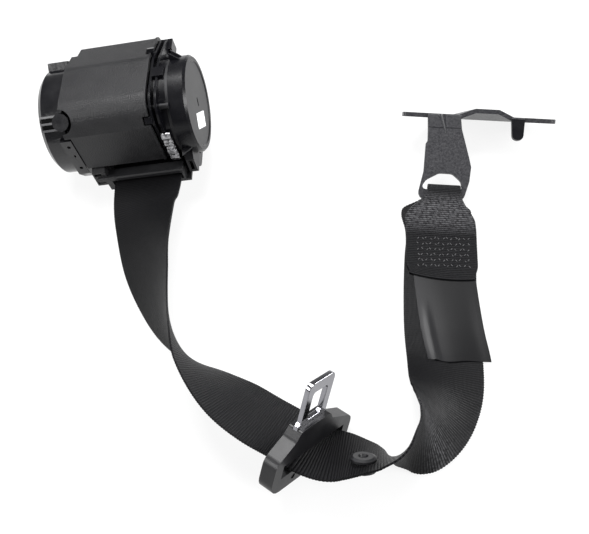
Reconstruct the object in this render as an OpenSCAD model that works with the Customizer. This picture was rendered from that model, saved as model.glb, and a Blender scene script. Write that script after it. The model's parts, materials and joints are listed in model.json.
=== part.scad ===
// Seat belt retractor with its webbing, tongue, stop button and end anchor, lying on a table.
// Millimetres, +Z up. The origin is the middle of the mounting lug's bolt hole; +X runs along the spool
// to the spring side, +Y away from the belt.

/* [Webbing] */
// width of the belt webbing
web_w = 47; // [44:0.5:50]
// thickness of the belt webbing
web_t = 1.2; // [1:0.1:1.5]
// outer radius of the webbing wound on the spool
roll_r = 25; // [20:0.5:26]

/* [Retractor frame] */
// gap between each edge of the wound webbing and its side plate
edge_gap = 3; // [2.5:0.25:4]
// thickness of the frame steel
steel_t = 2; // [1.5:0.1:2.5]
// radius of the round top of the side plates
plate_r = 31; // [30:0.5:32]
// lean of the spool axis while the retractor lies on its lug
lean = 11; // [6:1:14]
// radius of the bolt hole in the mounting lug
bolt_r = 5.2; // [4.5:0.1:5.5]

/* [Covers] */
// wall thickness of the plastic covers
wall = 1.8; // [1.4:0.1:2.4]
// height of the top of the shell over the spool axis
shell_top = 35; // [34:0.5:40]
// distance of the shell front from the spool axis
shell_front = 34; // [34:0.5:38]
// distance of the shell back from the spool axis
shell_back = 43.5; // [40:0.5:46]
// radius of the spring cover
spring_r = 32; // [31.5:0.5:34]
// radius of the mechanism cover
mech_r = 34.5; // [34:0.5:38]
// outer face of the spring cover along the spool axis
spring_end = 40; // [39:0.5:46]
// outer face of the mechanism cover along the spool axis
mech_end = 59; // [58:0.5:66]
// left edge of the shell along the spool axis
shell_left = 42; // [40:0.5:44]
// right edge of the shell along the spool axis
shell_right = 16.5; // [14:0.5:17]

/* [Spool] */
// radius of the spool core
core_r = 12; // [11:0.5:15]
// radius of the spool flanges
flange_r = 28; // [26:0.5:28.5]
// number of ratchet teeth
teeth = 24; // [18:1:30]

/* [Tongue] */
// length of the tongue body along its slot
tongue_l = 72; // [70:1:82]
// thickness of the tongue body
tongue_t = 9; // [8:0.5:11]
// width of the tongue blade
blade_w = 24; // [20:0.5:26]
// height of the blade tip over the slot centre
blade_top = 50; // [46:1:58]
// thickness of the tongue and anchor steel
plate_t = 3; // [2.5:0.1:3.5]

/* [Anchor] */
// length of the anchor leg from its slot bar to the bend
leg_l = 55; // [50:1:60]
// width of the webbing where it is gathered in the anchor slot
gather_w = 24; // [20:0.5:25]
// radius of the anchor bolt hole
anchor_r = 6; // [5:0.1:6.5]

/* [Hidden] */
$fn = 64;

// running clearance of shafts in holes, and of fixed pieces in their seats
run = 0.05;
seat = 0.02;
// inner and outer faces of the side plates
in_u = web_w / 2 + edge_gap;
out_u = in_u + steel_t;
// base plate of the frame
base_z = -(roll_r + 5);
base_bottom = base_z - steel_t;
// middle of the belt where it leaves the roll
exit_z = -(roll_r + web_t / 2 + run);
exit_y = -38;
// edge of the mechanism cover that the retractor lies on
rest_u = mech_end - 3;
rest_z = rest_u * sin(lean) + mech_r * cos(lean);
// place of the spool centre on the table
spool_at = [-103, 96, rest_z];
// mounting lug, long enough to reach the table
lug_t = 3;
lug_end = (rest_z + (out_u - lug_t) * sin(lean)) / cos(lean);
lug_hole_z = -(lug_end - bolt_r - 3.6);
lug_u = out_u - lug_t / 2;
// shift that brings the middle of the lug's bolt hole to the origin
lay_shift = -carried([lug_u, 0, lug_hole_z]);
// tie rods between the side plates
tie_r = 2;
tie_front = [-21.5, 23.5];
tie_rear = [26, 20];
// ratchet, pawl and sensor
tooth_r = 22;
pawl_at = [26, 0];
pawl_rest = 14;
ball_r = 4;
sensor_bottom = -28;
sensor_floor = sensor_bottom + 1.5;
sensor_top = sensor_floor + 2 * ball_r - 0.4;
lever_at = [7, sensor_top + 2];
sensor_u = [-mech_end + 3, -mech_end + 14.5];
seat_u = -mech_end + 11.2;
// place of the sensor's boss round the mechanism cover
boss_turn = 45;
ball_u = (sensor_u[0] + sensor_u[1]) / 2;
// tongue place on the table
tongue_at = [7, -132.6, 20.8];
tongue_yaw = -43;
tongue_dip = -30;
tongue_tilt = -10;
slot_l = web_w + 10;
slot_h = 3.2;
mouth_h = 9;
// the blade stands a little to one side of the slot's middle
blade_y = -5;
// anchor place on the table
bar_at = [100, 53, 8];
anchor_yaw = -4;
leg_rise = 28;
plate_fall = 47.4;
bar_h = 7;
loop_r = 5;
plate_depth = (bar_at[2] + leg_l * sin(leg_rise) - plate_t / 2 * cos(plate_fall)) / sin(plate_fall);

// belt route on the table: x, y, z of the middle and roll of the width
belt_route = [
    [-98, 40, 20.5, 22], [-97.5, 25, 21.5, 35], [-93.5, -6, 22.5, 53], [-86, -33, 23, 71],
    [-78, -54, 23.6, 91], [-68.5, -71, 24, 111], [-60, -82, 24, 126], [-48, -94, 23.5, 138],
    [-34, -106, 23, 147], [-19, -116.5, 22, 151], [-4, -125, 20.8, 151], [7, -132.6, 20.8, 149],
    [18, -136.8, 20.9, 149], [28.5, -138.2, 21.8, 144], [38.4, -139.4, 22.8, 135],
    [47, -140.3, 23.6, 126], [54, -140.3, 24, 113], [60.5, -138.4, 24, 97], [67, -134.5, 23.6, 80],
    [72.5, -129.5, 21.9, 64], [77.5, -123, 19, 51], [82.5, -114, 15.2, 38], [87, -102.5, 10.6, 25],
    [90.5, -88, 6, 12], [92, -71, 2.5, 4], [92, -53, 1.1, 1], [92.5, -38, 0.8, 0],
    [94, -15, 0.8, 0], [96, 6, 0.8, 0]];

function unit(v) = v / norm(v);

// corner of an outline rounded to radius r
function corner(a, b, c, r, n) =
    let (u = unit(a - b), v = unit(c - b), half = acos(u * v) / 2, mid = b + unit(u + v) * r / sin(half))
    let (p = b + u * r / tan(half) - mid, q = b + v * r / tan(half) - mid)
    let (start = atan2(p[1], p[0]), turn = atan2(q[1], q[0]) - start)
    let (sweep = turn > 180 ? turn - 360 : turn < -180 ? turn + 360 : turn)
    [for (i = [0 : n]) mid + r * [cos(start + sweep * i / n), sin(start + sweep * i / n)]];

// outline with its corners rounded to the radii given
function rounded(pts, radii, n = 8) =
    let (m = len(pts))
    [for (i = [0 : m - 1]) each radii[i] == 0 ? [pts[i]] :
        corner(pts[(i + m - 1) % m], pts[i], pts[(i + 1) % m], radii[i], n)];

// point of the retractor carried to the table
function carried(p) = spool_at
    + [p[0] * cos(lean) - p[2] * sin(lean), p[1], p[0] * sin(lean) + p[2] * cos(lean)];

// point of the anchor carried to the table
function hooked(p) = bar_at + [p[0] * cos(anchor_yaw) - p[1] * sin(anchor_yaw),
    p[0] * sin(anchor_yaw) + p[1] * cos(anchor_yaw), p[2]];

// smooth curve through four stations
function smooth(a, b, c, d, t) = 0.5 * (2 * b + (c - a) * t + (2 * a - 5 * b + 4 * c - d) * t * t
    + (3 * b - a - 3 * c + d) * t * t * t);

// stations of the belt from the roll to the flat stretch before the anchor
exit_start = carried([0, 0, exit_z]);
exit_mid = carried([0, exit_y / 2, exit_z]);
exit_end = carried([0, exit_y, exit_z]);
stations = concat([[each exit_start, lean], [each exit_mid, lean], [each exit_end, lean]], belt_route,
    [[each hooked([0, -38, 0.8 - bar_at[2]]), 0], [each hooked([0, -32, 0.9 - bar_at[2]]), 0]]);
steps = 4;
last = len(stations) - 1;
run_points = [for (i = [0 : last - 1]) for (s = [0 : steps - 1])
    smooth(stations[max(i - 1, 0)], stations[i], stations[i + 1], stations[min(i + 2, last)], s / steps)];

// middle, width direction, face normal and half width of a ring of the belt
function run_ring(i) =
    let (m = len(run_points), p = run_points[i])
    let (a = run_points[max(i - 1, 0)], b = run_points[min(i + 1, m - 1)])
    let (along = unit([b[0] - a[0], b[1] - a[1], b[2] - a[2]]), side = unit(cross([0, 0, 1], along)))
    let (up = cross(along, side), wide = cos(p[3]) * side + sin(p[3]) * up)
    [[p[0], p[1], p[2]], wide, cross(along, wide), web_w / 2];
run_rings = [for (i = [0 : len(run_points) - 1]) run_ring(i)];

// sewn loop round the anchor bar and the flap that lies back on the belt
flap_z = 0.8 + web_t + 0.5 - bar_at[2];
flap_end = -64;
loop_line = concat([[-24, 1.2 - bar_at[2]], [-15, 1.8 - bar_at[2]], [-7, 2.6 - bar_at[2]]],
    [for (a = [-90 : 22.5 : 90]) [loop_r * cos(a), loop_r * sin(a)]],
    [[-7, 3.8], [-14, 0.6], [-21, -2.6], [-28, -4.8], [-34, flap_z], [-46, flap_z], [flap_end, flap_z]]);
function gathered(y) = (gather_w + (web_w - gather_w) * min(1, max(0, (-y - 5) / 27))) / 2;
function loop_ring(i) =
    let (m = len(loop_line), p = loop_line[i])
    let (a = loop_line[max(i - 1, 0)], b = loop_line[min(i + 1, m - 1)])
    let (along = unit(hooked([0, b[0], b[1]]) - hooked([0, a[0], a[1]])))
    let (wide = hooked([-1, 0, 0]) - hooked([0, 0, 0]))
    [hooked([0, p[0], p[1]]), wide, cross(along, wide), gathered(p[0])];
loop_rings = [for (i = [0 : len(loop_line) - 1]) loop_ring(i)];

// ring of the belt that carries the stop button, its place across the belt, and rings under the label
button_shift = 9;
button_ring = run_rings[17 * steps];
label_rings = [for (i = [27.5 * steps : 30 * steps]) run_rings[i]];

module lay() { translate(lay_shift) children(); }

module retractor() { lay() translate(spool_at) rotate([0, -lean, 0]) children(); }

module tongue() {
    lay() translate(tongue_at) rotate([0, 0, tongue_yaw]) rotate([tongue_dip, 0, 0])
        rotate([0, tongue_tilt, 0]) children();
}

module anchor() { lay() translate(bar_at) rotate([0, 0, anchor_yaw]) children(); }

// cylinder along the spool axis
module rod(u0, u1, r, at = [0, 0]) {
    translate([u0, at[0], at[1]]) rotate([0, 90, 0]) cylinder(h = u1 - u0, r = r);
}

// flat outline in the side view, carried along the spool axis
module along_u(u0, u1, pts) {
    translate([u0, 0, 0]) rotate([90, 0, 90]) linear_extrude(u1 - u0) polygon(pts);
}

// box between two corners
module box(a, b) { translate(a) cube(b - a); }

// strip with a rectangular section through rings, lifted and shifted off the middle,
// with cols faces across its width
module strip(rings, half_t, lift = 0, half_w = 0, cols = 4, shift = 0) {
    m = len(rings);
    q = 2 * cols + 2;
    points = [for (g = rings) let (w = half_w > 0 ? half_w : g[3], mid = g[0] + lift * g[2] + shift * g[1])
        each concat(
        [for (j = [0 : cols]) mid - w * (1 - 2 * j / cols) * g[1] + half_t * g[2]],
        [for (j = [cols : -1 : 0]) mid - w * (1 - 2 * j / cols) * g[1] - half_t * g[2]])];
    sides = [for (i = [0 : m - 2]) for (k = [0 : q - 1]) let (a = q * i + k, b = q * i + (k + 1) % q)
        each [[a, b, a + q], [b, b + q, a + q]]];
    ends = [[for (k = [q - 1 : -1 : 0]) k], [for (k = [0 : q - 1]) q * (m - 1) + k]];
    polyhedron(points, concat(sides, ends));
}

module side_plate(u0) {
    rod(u0, u0 + steel_t, plate_r);
    box([u0, -29, base_bottom], [u0 + steel_t, 31, 0]);
}

module frame() {
    color("dimgray") retractor() difference() {
        union() {
            side_plate(-out_u);
            side_plate(in_u);
            box([-out_u, exit_y, base_bottom], [out_u, 31, base_z]);
        }
        rod(-out_u - 1, out_u + 1, 9 + seat);
        rod(-out_u - 1, out_u + 1, tie_r + seat, tie_front);
        rod(-out_u - 1, out_u + 1, tie_r + seat, tie_rear);
        rod(-out_u - 1, 0, 2 + seat, pawl_at);
        rod(-out_u - 1, out_u + 1, 4, [-20, -18]);
        rod(-out_u - 1, out_u + 1, 5, [20, -18]);
        rod(-out_u - 1, out_u + 1, 3.5, [0, 22]);
        for (y = [-9, 9]) translate([8, y, base_bottom - 1]) cylinder(h = steel_t + 2, r = 2.5 + seat);
    }
}

module tie_rod_front() { color("silver") retractor() rod(-out_u, out_u, tie_r, tie_front); }

module tie_rod_rear() { color("silver") retractor() rod(-out_u, out_u, tie_r, tie_rear); }

module mounting_lug() {
    foot = rounded([[-15, base_bottom], [15, base_bottom], [15, -lug_end], [-15, -lug_end]], [0, 0, 7, 7]);
    color("black") retractor() difference() {
        union() {
            box([0, -15, base_bottom - lug_t], [out_u, 15, base_bottom]);
            along_u(out_u - lug_t, out_u, foot);
        }
        rod(out_u - lug_t - 1, out_u + 1, bolt_r, [0, lug_hole_z]);
        for (y = [-9, 9]) translate([8, y, base_bottom - lug_t - 1]) cylinder(h = lug_t + 2, r = 2.5 + seat);
    }
}

module lug_rivets() {
    color("silver") retractor() for (y = [-9, 9]) translate([8, y, 0]) {
        translate([0, 0, base_bottom - lug_t]) cylinder(h = lug_t + steel_t, r = 2.5);
        translate([0, 0, base_bottom - lug_t - 1.4]) cylinder(h = 1.4, r1 = 3.4, r2 = 4.5);
        translate([0, 0, base_z]) cylinder(h = 1.4, r1 = 4.5, r2 = 3.4);
    }
}

// shell outline in the side view, drawn in by inset
function shell_line(inset, low) = rounded([
    [-shell_front + inset, low ? -60 : -12], [-shell_front + inset, 19],
    [-28 + inset * 0.8, shell_top - inset], [12, shell_top - inset], [shell_back - inset, 24 - inset * 0.8],
    [shell_back - inset, low ? -60 : base_z]], [0, 2, 16 - inset, 18 - inset, 7 - inset, 0]);

// places round the shell of the hooks that hold its right edge
hook_turns = [54, -32];

module shell_cover() {
    color("black") retractor() difference() {
        union() {
            along_u(-shell_left, shell_right, shell_line(0, false));
            along_u(shell_right - 1.4, shell_right, shell_line(-0.6, false));
        }
        along_u(-shell_left - 1, shell_right + 1, shell_line(wall, true));
        translate([-shell_left, 0, 0]) rotate([boss_turn, 0, 0]) cylinder(h = 60, r = 8);
        box([-shell_left - 1, -60, -60], [-shell_left + 4, -10, 18]);
        box([-shell_left - 1, 30, 12], [-shell_left + 4, 60, 40]);
        for (a = hook_turns) rotate([a, 0, 0]) box([shell_right - 4, -3, 30], [shell_right + 1, 3, 60]);
        for (u = [-20, 4]) box([u - 3, shell_back - 3, -22], [u + 3, shell_back + 2, -18]);
    }
}

module belt_guide() {
    left = -out_u - 5;
    right = web_w / 2 + 1.6;
    upper = [[-29.5, -21], [-34.6, -21], [-35.6, -19.4], [-38, -19.2], [-38.8, -20], [-38.8, -22.4],
        [-37.2, -23.2], [-29.5, -23.2]];
    lower = [[-29.5, -28.2], [-36.4, -28.2], [-38, -29], [-38, base_z], [-29.5, base_z]];
    cheek = [[-29.5, -21], [-34.6, -21], [-38.8, -22.4], [-38, base_z], [-29.5, base_z]];
    block = [[-30, -28], [-36.5, -28], [-36.5, -15.5], [-31.5, -13.5], [-30, -13.5]];
    color("black") retractor() {
        along_u(left, right, upper);
        along_u(-out_u, right, lower);
        along_u(-out_u, -web_w / 2 - 1, cheek);
        along_u(web_w / 2 + 0.6, right, cheek);
        difference() {
            along_u(left - 3, left + 4, block);
            for (z = [-17.5, -25]) box([left - 2, -37, z - 1.2], [left + 3, -34.5, z + 1.2]);
        }
    }
}

module spring_collar() {
    color("black") retractor() difference() {
        union() {
            along_u(17.5, 19, shell_line(1.4, false));
            along_u(21, 22.5, shell_line(2.4, false));
            rod(18.1, in_u, plate_r);
            box([18.2, -4, plate_r - 1], [in_u - 0.4, 4, shell_top - 1.5]);
            for (a = hook_turns) rotate([a, 0, 0]) box([shell_right - 3, -2.2, 34], [18.2, 2.2, 40.2]);
            difference() {
                box([18.3, shell_back - 10, 11], [25, shell_back - 0.5, 20.5]);
                box([23, shell_back - 4, 13], [24.2, shell_back, 18.5]);
            }
            rotate([40, 0, 0]) box([18.2, -3, plate_r - 1], [in_u - 0.4, 3, plate_r + 2]);
        }
        rod(17, in_u + 1, flange_r + 1.4);
        box([17, -60, -60], [in_u + 1, 60, -12]);
        rod(17, in_u + 1, tie_r + 0.3, tie_front);
        rod(17, in_u + 1, tie_r + 0.3, tie_rear);
    }
}

// pressed spring strip screwed to the front of the collar
module clip_strip() {
    folds = 8;
    top = 10;
    pitch = 3.2;
    zig = [for (i = [0 : folds]) [-32 - (i % 2) * 1.4, top - pitch * i]];
    back = [for (i = [folds : -1 : 0]) [-32.8 - (i % 2) * 1.4, top - pitch * i]];
    color("silver") retractor() {
        along_u(19.6, 25.6, concat(zig, back));
        translate([22.6, -32.6, top - 5 * pitch]) rotate([90, 0, 0]) cylinder(h = 2.8, r = 2.3);
    }
}

module spring_base() {
    color("black") retractor() difference() {
        rod(out_u, out_u + 1.5, spring_r - wall - 0.1);
        rod(out_u - 1, out_u + 3, 9.4);
    }
}

module spring_cover() {
    face = spring_end - 0.7;
    line = [[spring_r - wall, out_u], [spring_r, out_u], [spring_r, spring_end - 1.6],
        [spring_r - 1.4, spring_end], [spring_r - 3.6, spring_end], [spring_r - 4.4, face], [0, face],
        [0, face - wall], [spring_r - wall, face - wall]];
    gusset = [[out_u, spring_r - 0.5], [spring_end - 4, spring_r - 0.5], [out_u, spring_r + 5]];
    function below(a, out) = -(spring_r + out) * [cos(a), sin(a)];
    foot = [below(53.5, 1.6), below(40.9, 12.3), below(37.6, 12.2), below(25.2, 5.6), below(21.8, 0.3)];
    foot_slot = [-spring_r - 4, -spring_r + 0.5];
    color("black") retractor() difference() {
        union() {
            rotate([0, 90, 0]) rotate([0, 0, 90]) rotate_extrude() polygon(line);
            for (a = [-22, -34, 104]) rotate([a, 0, 0]) translate([0, 0.6, 0]) rotate([90, 0, 0])
                linear_extrude(1.2) polygon(gusset);
            difference() {
                along_u(out_u, out_u + 5.5, foot);
                rod(out_u - 1, out_u + 7, spring_r - 1);
                box([out_u + 1.5, foot_slot[0], -25], [out_u + 4, foot_slot[1], -17]);
            }
        }
        translate([face - 0.6, 1.5, 0]) rotate([-30, 0, 0]) box([0, -0.9, -2.9], [2, 0.9, 2.9]);
    }
}

module mainspring() {
    turns = 7;
    r0 = 9.2;
    r1 = spring_r - wall - 0.8;
    count = 24 * turns;
    strip_t = 0.7;
    function coil(i, t) = (r0 + (r1 - r0) * i / count + t) * [cos(15 * i), sin(15 * i)];
    out = [for (i = [0 : count]) coil(i, strip_t)];
    back = [for (i = [count : -1 : 0]) coil(i, 0)];
    color("steelblue") retractor() along_u(out_u + 2, spring_end - 3, concat(out, back));
}

module spring_arbor() {
    color("white") retractor() difference() {
        rod(out_u + 1.8, spring_end - 3, 8.6);
        rod(out_u, spring_end, 5 + seat);
    }
}

module mechanism_base() {
    color("ivory") retractor() difference() {
        rod(-out_u - wall, -out_u, 29.4);
        rod(-out_u - wall - 1, 0, 9.4);
        rod(-out_u - wall - 1, 0, 2 + seat, pawl_at);
    }
}

module mechanism_cover() {
    s0 = -out_u;
    s1 = -shell_left;
    line = [[29.5, s0], [31.4, s0], [31.4, s1], [mech_r, s1], [mech_r, -rest_u], [mech_r - 3, -mech_end],
        [0, -mech_end], [0, -mech_end + wall], [mech_r - 3.8, -mech_end + wall], [mech_r - wall, -rest_u + 1],
        [mech_r - wall, seat_u], [29.5, seat_u]];
    ledge = [[-20, 16.5], [-34.4, 16.5], [-34.4, -16], [-29, -25], [-20, -25]];
    color("black") retractor() difference() {
        union() {
            rotate([0, 90, 0]) rotate([0, 0, 90]) rotate_extrude() polygon(line);
            rotate([-50, 0, 0]) box([-rest_u - 1, -9, mech_r - 1.6], [s1 - 1, 9, mech_r + 4]);
            for (a = [38, 45, 52]) rotate([a, 0, 0])
                box([-rest_u - 1, -0.7, mech_r - 1], [s1 - 1, 0.7, mech_r + 1.2]);
            rotate([boss_turn, 0, 0]) translate([s1, 0, 30]) cylinder(h = 9, r1 = 6.8, r2 = 5.6);
            rotate([-62, 0, 0]) box([s1 - 3, -3, 33], [s1 + 3.4, 3, mech_r + 7]);
            difference() {
                along_u(s1 - 4, s1 + 3.4, ledge);
                rod(s1 - 5, s1 + 5, 30.5);
                for (z = [11, 2, -10]) translate([s1, -36, z]) rotate([-90, 0, 0]) cylinder(h = 5, r = 1.2);
            }
        }
        for (a = [30, 150, 270]) rotate([a, 0, 0]) rod(-mech_end - 1, -mech_end + 4, 1.5 + seat, [0, 24]);
    }
}

module cover_screws() {
    color("silver") retractor() for (a = [30, 150, 270]) rotate([a, 0, 0]) difference() {
        union() {
            rod(-mech_end, -mech_end + wall, 1.5, [0, 24]);
            rod(-mech_end - 1.6, -mech_end, 3.2, [0, 24]);
        }
        box([-mech_end - 2, -2.2, 23.6], [-mech_end - 0.8, 2.2, 24.4]);
        box([-mech_end - 2, -0.4, 21.8], [-mech_end - 0.8, 0.4, 26.2]);
    }
}

module spool() {
    f = web_w / 2 + 0.8;
    color("gray") retractor() difference() {
        union() {
            rod(-f, f, core_r);
            rod(-f - 1.5, -f, flange_r);
            rod(f, f + 1.5, flange_r);
            rod(-36.5, out_u + 1, 7);
            rod(-45.5, spring_end - 3, 5);
        }
        rod(-47, spring_end, 4 + seat);
        for (a = [0 : 60 : 300]) rotate([a, 0, 0]) {
            rod(-f - 2, -f, 3.5, [0, 19]);
            rod(f, f + 2, 3.5, [0, 19]);
        }
    }
}

module torsion_bar() { color("silver") retractor() rod(-45, spring_end - 4, 4); }

module webbing_roll() {
    color("black") retractor() difference() {
        rod(-web_w / 2, web_w / 2, roll_r);
        rod(-web_w / 2 - 1, web_w / 2 + 1, core_r + seat);
    }
}

module bush(u0, u1, u2) {
    difference() {
        union() {
            rod(u0, u1, 9);
            rod(min(u1, u2), max(u1, u2), 11);
        }
        rod(u0 - 5, u1 + 5, 7 + run);
    }
}

module bush_left() { color("ivory") retractor() bush(-out_u - 0.5, -in_u, -in_u + 0.5); }

module bush_right() { color("ivory") retractor() mirror([1, 0, 0]) bush(-out_u - 0.5, -in_u, -in_u + 0.5); }

module ratchet_wheel() {
    line = [for (i = [0 : teeth - 1]) let (a = 360 * i / teeth, s = 360 / teeth)
        each [tooth_r * [cos(a), sin(a)], (tooth_r - 3.2) * [cos(a + 0.15 * s), sin(a + 0.15 * s)]]];
    color("silver") retractor() difference() {
        along_u(-36, -out_u - wall - 0.3, line);
        rod(-40, 0, 7 + seat);
        for (a = [0 : 60 : 300]) rotate([a, 0, 0]) rod(-40, 0, 2.5, [0, 13]);
    }
}

module locking_pawl() {
    color("silver") retractor() difference() {
        union() {
            rod(-36, -out_u - wall - 0.3, 3, pawl_at);
            translate([0, pawl_at[0], pawl_at[1]]) rotate([pawl_rest, 0, 0])
                along_u(-36, -out_u - wall - 0.3, [[-1.5, 2.3], [1.5, 2.3], [1.5, 12.6], [-1.5, 14]]);
        }
        rod(-40, 0, 2 + run, pawl_at);
    }
}

module pawl_pin() { color("silver") retractor() rod(-37, -in_u, 2, pawl_at); }

module inertia_disc() {
    color("gray") retractor() difference() {
        union() {
            rod(-44, -42, 18);
            rod(-44, -38, 8);
            difference() {
                rod(-44, -38, 18);
                rod(-45, -37, 14.5);
            }
        }
        rod(-45, -37, 5 + run);
        for (a = [0 : 72 : 288]) rotate([a, 0, 0]) rod(-45, -37, 2.4, [0, 11.2]);
    }
}

module clutch_ring() {
    function notch(a) = [23.6 * [cos(a), sin(a)], 21.4 * [cos(a + 2), sin(a + 2)]];
    line = [for (i = [0 : 35]) each notch(10 * i)];
    color("ivory") retractor() difference() {
        rod(-43.6, -38, 29.5 - run);
        along_u(-45, -37, line);
    }
}

module sensor_housing() {
    color("ivory") retractor() difference() {
        union() {
            box([sensor_u[0], -8.8, sensor_bottom], [sensor_u[1], 8.8, sensor_top]);
            for (u = [sensor_u[0], sensor_u[1] - 1.2])
                box([u, 5, sensor_top], [u + 1.2, 8.8, lever_at[1] + 2]);
        }
        translate([ball_u, 0, sensor_floor]) cylinder(h = 20, r = ball_r + 0.9);
        rod(sensor_u[0] - 1, sensor_u[1] + 1, 1.2 + run, lever_at);
    }
}

module sensor_ball() {
    color("silver") retractor() translate([ball_u, 0, sensor_floor + ball_r]) sphere(r = ball_r);
}

module sensor_lever() {
    color("white") retractor() {
        rod(sensor_u[0] + 0.1, sensor_u[1] - 0.1, 1.2, lever_at);
        box([sensor_u[0] + 1.6, -6, lever_at[1] - 1], [sensor_u[1] - 1.6, lever_at[0], lever_at[1] + 0.7]);
        translate([ball_u, -5, lever_at[1] + 0.5]) cylinder(h = 3, r1 = 2.2, r2 = 0.8);
    }
}

module webbing() { color("black") lay() strip(concat(run_rings, loop_rings), web_t / 2); }

module film_label() { color("dimgray") lay() strip(label_rings, 0.2, web_t / 2 + 0.45, 20, 1, -4.5); }

// half of the stop button, seated on one face of the belt
module button_half(side) {
    n = side * button_ring[2];
    w = button_ring[1];
    l = cross(n, w);
    p = button_ring[0] + button_shift * w;
    rows = [for (i = [0 : 2]) [l[i], w[i], n[i], p[i]]];
    lay() multmatrix(concat(rows, [[0, 0, 0, 1]]))
        translate([0, 0, web_t / 2 + 0.5]) difference() {
            union() {
                cylinder(h = 2.5, r = 2);
                translate([0, 0, 1.4]) cylinder(h = 1.2, r = 7.4);
                translate([0, 0, 2.6]) cylinder(h = 0.9, r1 = 7.4, r2 = 5.6);
            }
            translate([0, 0, 2.1]) cylinder(h = 2, r1 = 2, r2 = 3.2);
        }
}

module stop_button_front() { color("black") button_half(-1); }

module stop_button_back() { color("black") button_half(1); }

// steel of the tongue: slotted foot, neck and blade
module tongue_steel() {
    half = plate_t / 2;
    b = blade_w / 2;
    foot = rounded([[-33, -9.5], [33, -9.5], [33, 7], [b + 4 + blade_y, 15.5], [b + blade_y, 19],
        [b + blade_y, blade_top], [-b + blade_y, blade_top], [-b + blade_y, 25], [-b - 2.2 + blade_y, 24],
        [-b - 2.2 + blade_y, 15.5], [-33, 7]], [6, 6, 5, 3, 0, 4, 4, 0, 0.6, 3, 5], 4);
    window = rounded([[-6.5, 25], [6.5, 25], [6.5, blade_top - 7], [-6.5, blade_top - 7]], [2, 2, 2, 2], 4);
    difference() {
        along_u(-half, half, foot);
        box([-half - 1, -slot_l / 2 - 1.5, -5], [half + 1, slot_l / 2 + 1.5, 5]);
        translate([0, blade_y, 0]) along_u(-half - 1, half + 1, window);
    }
}

module tongue_plate() { color("silver") tongue() tongue_steel(); }

// moulding round the foot, with a slot that flares to both faces
module tongue_moulding() {
    half = tongue_t / 2;
    e = tongue_l / 2;
    n = blade_w / 2 + 1.5;
    throat = slot_h / 2;
    mouth = mouth_h / 2;
    line = rounded([[-e, -14], [e, -14], [e, 8], [n + 3.5 + blade_y, 17.5], [n + blade_y, 22.5],
        [-n + blade_y, 22.5], [-n - 3.5 + blade_y, 17], [-e, 8]], [9, 9, 7, 5, 2, 2, 5, 7], 5);
    out = half + 0.1;
    flare = [[-out, -mouth], [-1, -throat], [1, -throat], [out, -mouth], [out, mouth], [1, throat],
        [-1, throat], [-out, mouth]];
    color("black") tongue() difference() {
        along_u(-half, half, line);
        translate([0, slot_l / 2, 0]) rotate([90, 0, 0]) linear_extrude(slot_l) polygon(flare);
        tongue_steel();
        rod(-half - 1, half + 1, 1.1, [-8, -9]);
        rod(half - 0.6, half + 1, 1.7, [-16, -9]);
    }
}

module anchor_bracket() {
    half = plate_t / 2;
    low = -bar_h / 2;
    leg = rounded([[-17, low], [14.5, low], [18.2, 10], [19, 20], [17.6, 25.5], [11.6, 46], [10.5, leg_l],
        [-12, leg_l], [-11.4, 46], [-11.2, 37], [-12.4, 35.2], [-13, 16]],
        [5, 5, 6, 1.5, 4, 6, 0, 0, 3, 0.5, 0.5, 10], 4);
    hole = rounded([[-14.8, -low], [13.8, -low], [12.4, 10], [6.5, 15], [-2.5, 15], [-11, 10]],
        [2, 2, 5, 5, 5, 6], 4);
    side = [[-28.5, -half], [10, -half], [21, 3], [36, 3], [46, -half], [76, -half], [76, half], [46.6, half],
        [36.6, 3 + plate_t], [20.4, 3 + plate_t], [9.4, half], [-28.5, half]];
    peg_x = 45;
    peg_w = 9;
    peg_end = leg_l - 14.5;
    peg = rounded([[peg_x, leg_l], [peg_x + peg_w, leg_l], [peg_x + peg_w - 0.8, peg_end],
        [peg_x + 0.8, peg_end]], [0, 0, 3.4, 3.4], 4);
    dart_tip = [1.2, 41.5, half];
    dart_l = 14;
    dart_lean = 15;
    plan = rounded([[-28.5, 0], [76, 0], [76, plate_depth - 14], [64, plate_depth], [0, plate_depth],
        [-28.5, 16]], [2, 5, 8, 5, 8, 4], 4);
    apex = [leg_l * cos(leg_rise), leg_l * sin(leg_rise)];
    color("black") anchor() {
        difference() {
            union() {
                rotate([leg_rise, 0, 0]) translate([0, 0, -half]) linear_extrude(plate_t) difference() {
                    polygon(leg);
                    polygon(hole);
                }
                translate([-12, apex[0], apex[1]]) rotate([0, 90, 0]) cylinder(h = 23.5, r = half);
                rotate([leg_rise, 0, 0]) translate([0, 0, -half]) linear_extrude(plate_t) polygon(peg);
                rotate([leg_rise, 0, 0]) difference() {
                    translate(dart_tip) rotate([-90, 0, dart_lean]) cylinder(h = dart_l, r1 = 0.4, r2 = 4.6);
                    box([-20, 30, half - 0.05], [20, 70, 12]);
                    box([-20, leg_l - 0.5, -12], [20, 70, 12]);
                }
                translate([peg_x, apex[0], apex[1]]) rotate([0, 90, 0]) cylinder(h = peg_w, r = half);
                translate([0, apex[0], apex[1]]) rotate([-plate_fall, 0, 0]) intersection() {
                    translate([0, plate_depth, 0]) rotate([90, 0, 0]) linear_extrude(plate_depth)
                        polygon(side);
                    translate([0, 0, -20]) linear_extrude(40) polygon(plan);
                }
            }
            translate([0, apex[0], apex[1]]) rotate([-plate_fall, 0, 0]) translate([62, 20, -10])
                cylinder(h = 20, r = anchor_r);
            rotate([leg_rise, 0, 0]) {
                translate(dart_tip) rotate([-90, 0, dart_lean]) cylinder(h = dart_l + 4, r1 = 0.2, r2 = 3);
                translate([0, 46.4, half]) rotate([45, 0, 0]) box([-20, -0.3, -0.3], [20, 0.3, 0.3]);
            }
        }
    }
}

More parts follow.
